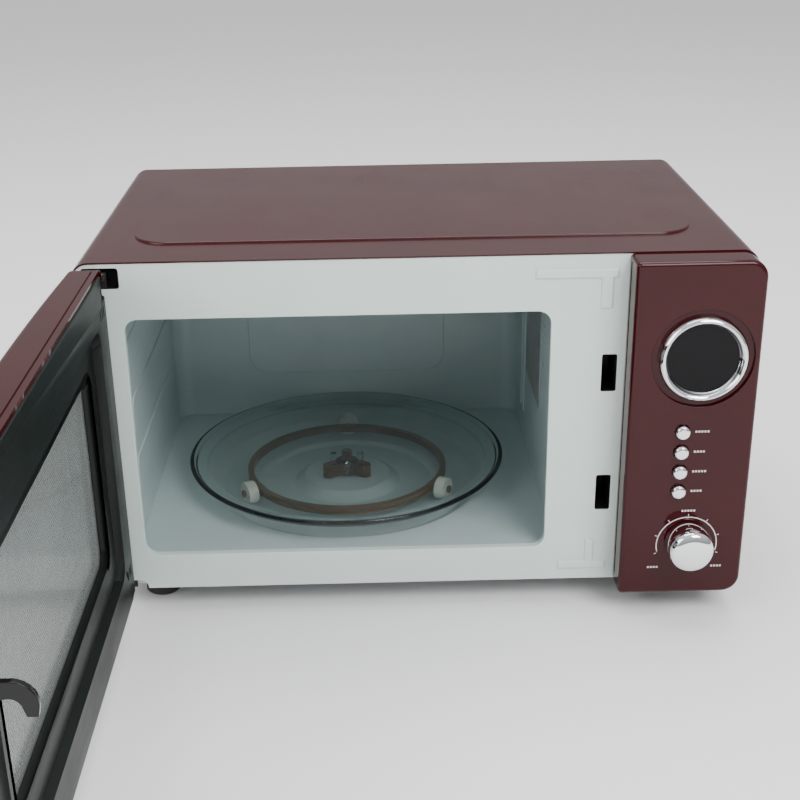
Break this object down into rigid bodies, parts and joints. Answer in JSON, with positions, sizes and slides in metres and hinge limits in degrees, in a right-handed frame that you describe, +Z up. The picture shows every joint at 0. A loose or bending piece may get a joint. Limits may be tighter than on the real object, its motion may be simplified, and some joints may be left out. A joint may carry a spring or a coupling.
{
  "type": "microwave oven",
  "caption": "Countertop retro microwave oven with a side-hinged open door, turntable on a roller ring, round display, push buttons and a dial.",
  "frame": {"origin": "on the plane under the four feet, below the middle of the cabinet's width and depth", "axes": "+X to the right seen from the front, +Y to the back, +Z up"},
  "size_m": [0.4839, 0.6419, 0.2605],
  "materials": {
    "cover_paint": "gloss burgundy enamel",
    "zinc_steel": "zinc-plated sheet",
    "black_plastic": "fine satin texture",
    "foot_rubber": "matt",
    "bright_screws": "bright zinc",
    "white_enamel": "satin white enamel with faint orange peel",
    "grey_enamel": "satin pale grey enamel",
    "mica": "mica board",
    "magnetron_steel": "pressed steel with cooling fins",
    "aluminium_can": "satin",
    "white_plastic": "moulded",
    "motor_iron": "laminated core",
    "coupler_brown": "heat-resistant moulding",
    "ring_brown": "heat-resistant moulding",
    "roller_white": "moulded",
    "clear_glass": "clear tempered glass",
    "lamp_glass": "clear bulb",
    "panel_plastic": "high-gloss burgundy",
    "chrome": "mirror chrome",
    "dark_lens": "tinted black",
    "circuit_board": "soldered board",
    "black_steel": "black enamel",
    "film": "clear polyester film",
    "window_glass": "smoked",
    "spring_steel": "bright wire"
  },
  "bodies": {
    "cabinet": {"base_plate": "zinc_steel", "capacitor_bracket": "zinc_steel", "case_screws": "bright_screws", "cavity_ceiling": "grey_enamel", "cavity_floor": "grey_enamel", "cavity_lamp": "lamp_glass", "cavity_left_wall": "grey_enamel", "cavity_rear_wall": "grey_enamel", "cavity_right_wall": "grey_enamel", "control_board": "circuit_board", "control_panel": "panel_plastic", "cord_gland": "black_plastic", "dial_encoder": "black_plastic", "display_bezel": "chrome", "display_board": "circuit_board", "display_lens": "dark_lens", "fan_housing": "white_plastic", "fan_motor": "motor_iron", "feet": "foot_rubber", "front_plate": "white_enamel", "hinge_brackets": "white_enamel", "hinge_screw": "bright_screws", "hv_capacitor": "aluminium_can", "hv_diode": "white_plastic", "hv_transformer": "zinc_steel", "interlock_bracket": "black_plastic", "key_switches": "white_plastic", "lamp_holder": "zinc_steel", "magnetron": "magnetron_steel", "microswitches": "black_plastic", "noise_filter": "circuit_board", "outer_cover": "cover_paint", "rear_panel": "zinc_steel", "rear_spacers": "black_plastic", "thermal_cutout": "white_plastic", "turntable_motor": "aluminium_can", "waveguide": "zinc_steel", "waveguide_cover": "mica"},
    "door": {"door_outer_shell": "panel_plastic", "door_inner_frame": "black_plastic", "door_mesh_plate": "black_steel", "door_screen": "black_steel", "door_inner_film": "film", "door_window_pane": "window_glass", "latch_spring": "spring_steel", "door_handle": "chrome", "handle_screws": "bright_screws"},
    "latch": {"door_latch": "black_plastic"},
    "coupler": {"drive_coupler": "coupler_brown"},
    "glass": {"glass_turntable": "clear_glass"},
    "ring": {"roller_ring": "ring_brown"},
    "wheel_1": {"roller_wheel_1": "roller_white"},
    "wheel_2": {"roller_wheel_2": "roller_white"},
    "wheel_3": {"roller_wheel_3": "roller_white"},
    "fan": {"fan_blade": "white_plastic"},
    "dial": {"dial_knob": "chrome"},
    "key_1": {"button_1": "chrome"},
    "key_2": {"button_2": "chrome"},
    "key_3": {"button_3": "chrome"},
    "key_4": {"button_4": "chrome"}
  },
  "joints": [
    {"name": "door_hinge", "type": "hinge", "parent": "cabinet", "child": "door", "pos_m": [-0.212, -0.1475, 0.138], "axis": [0, 0, 1], "range_deg": [-8, 90]},
    {"name": "latch_lift", "type": "slide", "parent": "door", "child": "latch", "axis": [0, 0, 1], "range_m": [0, 0.004], "stiffness_N_per_m": 250, "springref_m": -0.002, "deforming": ["latch_spring"]},
    {"name": "coupler_spin", "type": "hinge", "parent": "cabinet", "child": "coupler", "pos_m": [-0.05135, -0.005, 0.0426], "axis": [0, 0, 1], "continuous": true},
    {"name": "glass_lift", "type": "slide", "parent": "coupler", "child": "glass", "axis": [0, 0, 1], "range_m": [0, 0.08]},
    {"name": "ring_roll", "type": "hinge", "parent": "cabinet", "child": "ring", "pos_m": [-0.05135, -0.005, 0.0477], "axis": [0, 0, 1], "continuous": true},
    {"name": "fan_spin", "type": "hinge", "parent": "cabinet", "child": "fan", "pos_m": [0.16, 0.1218, 0.176], "axis": [0, 1, 0], "continuous": true},
    {"name": "dial_turn", "type": "hinge", "parent": "cabinet", "child": "dial", "pos_m": [0.1837, -0.1563, 0.0595], "axis": [0, 1, 0], "continuous": true},
    {"name": "wheel_1_spin", "type": "hinge", "parent": "ring", "child": "wheel_1", "pos_m": [-0.05135, 0.08, 0.0477], "axis": [0, 1, 0], "continuous": true},
    {"name": "wheel_2_spin", "type": "hinge", "parent": "ring", "child": "wheel_2", "pos_m": [-0.12496, -0.0475, 0.0477], "axis": [-0.866, -0.5, 0], "continuous": true},
    {"name": "wheel_3_spin", "type": "hinge", "parent": "ring", "child": "wheel_3", "pos_m": [0.02226, -0.0475, 0.0477], "axis": [0.866, -0.5, 0], "continuous": true},
    {"name": "key_1_press", "type": "slide", "parent": "cabinet", "child": "key_1", "axis": [0, 1, 0], "range_m": [0, 0.0015], "stiffness_N_per_m": 400, "springref_m": -0.001},
    {"name": "key_2_press", "type": "slide", "parent": "cabinet", "child": "key_2", "axis": [0, 1, 0], "range_m": [0, 0.0015], "stiffness_N_per_m": 400, "springref_m": -0.001},
    {"name": "key_3_press", "type": "slide", "parent": "cabinet", "child": "key_3", "axis": [0, 1, 0], "range_m": [0, 0.0015], "stiffness_N_per_m": 400, "springref_m": -0.001},
    {"name": "key_4_press", "type": "slide", "parent": "cabinet", "child": "key_4", "axis": [0, 1, 0], "range_m": [0, 0.0015], "stiffness_N_per_m": 400, "springref_m": -0.001}
  ],
  "couplings": [
    {"joint": "ring_roll", "follows": "coupler_spin", "ratio": 0.5},
    {"joint": "wheel_1_spin", "follows": "coupler_spin", "ratio": -5},
    {"joint": "wheel_2_spin", "follows": "coupler_spin", "ratio": -5},
    {"joint": "wheel_3_spin", "follows": "coupler_spin", "ratio": -5}
  ]
}
